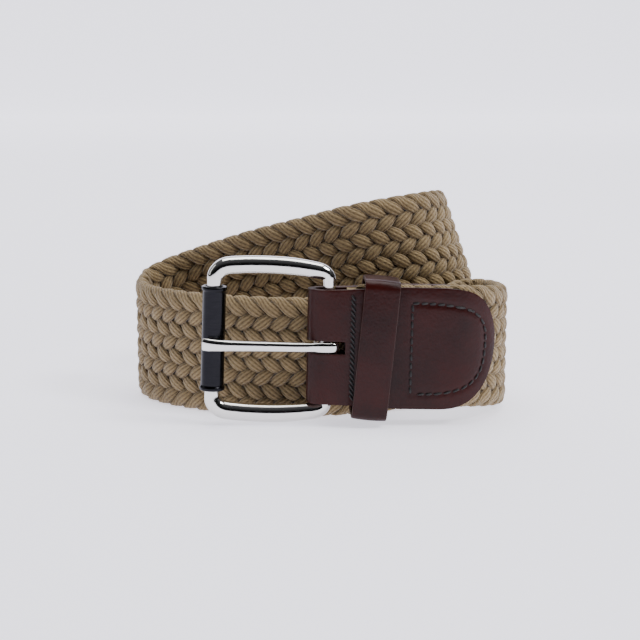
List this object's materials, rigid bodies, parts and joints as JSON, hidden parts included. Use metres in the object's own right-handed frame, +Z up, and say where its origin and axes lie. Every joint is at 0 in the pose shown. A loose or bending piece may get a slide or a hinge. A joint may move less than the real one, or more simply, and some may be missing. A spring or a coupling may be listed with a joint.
{
  "type": "braided stretch belt",
  "caption": "Braided elastic belt, coiled on its edge, with a leather tab, keeper and tip and a roller buckle with a turning prong.",
  "frame": {"origin": "middle of the coil's footprint, on the surface that the belt stands on", "axes": "+X along the front of the coil towards the tab's rounded end, +Y to the back of the coil, +Z up across the webbing"},
  "size_m": [0.1122, 0.1018, 0.0624],
  "materials": {
    "webbing_cord": "matte woven elastic cord",
    "binding_tape": "matte tape",
    "belt_leather": "oxblood leather, waxed, soft gloss",
    "leather_thread": "black waxed thread",
    "buckle_metal": "polished nickel plate",
    "roller_metal": "dark brushed nickel"
  },
  "bodies": {
    "strap": {"webbing": "webbing_cord", "heel_end_binding": "binding_tape", "tip_end_binding": "binding_tape", "tab_leather": "belt_leather", "tab_stitch_front": "leather_thread", "tab_stitch_back": "leather_thread", "fold_stitch_front": "leather_thread", "fold_stitch_back": "leather_thread", "tip_leather_front": "belt_leather", "tip_leather_back": "belt_leather", "tip_stitch_front": "leather_thread", "tip_stitch_back": "leather_thread"},
    "frame": {"buckle_frame": "buckle_metal"},
    "roller": {"buckle_roller": "roller_metal"},
    "prong": {"buckle_prong": "buckle_metal"},
    "keeper": {"keeper_loop": "belt_leather", "keeper_staple": "roller_metal"}
  },
  "joints": [
    {"name": "frame_swing", "type": "hinge", "parent": "strap", "child": "frame", "pos_m": [0.00244, -0.0433, 0.02267], "axis": [0.0384, 0.0013, 0.9993], "range_deg": [0, 40]},
    {"name": "prong_swing", "type": "hinge", "parent": "frame", "child": "prong", "pos_m": [0.00244, -0.0433, 0.02267], "axis": [0.0384, 0.0013, 0.9993], "range_deg": [0, 50]},
    {"name": "roller_spin", "type": "hinge", "parent": "frame", "child": "roller", "pos_m": [-0.02938, -0.04441, 0.02494], "axis": [0.0384, 0.0013, 0.9993], "continuous": true},
    {"name": "keeper_slide", "type": "slide", "parent": "strap", "child": "keeper", "axis": [0.9992, 0.0349, -0.0209], "range_m": [0, 0.007]}
  ]
}
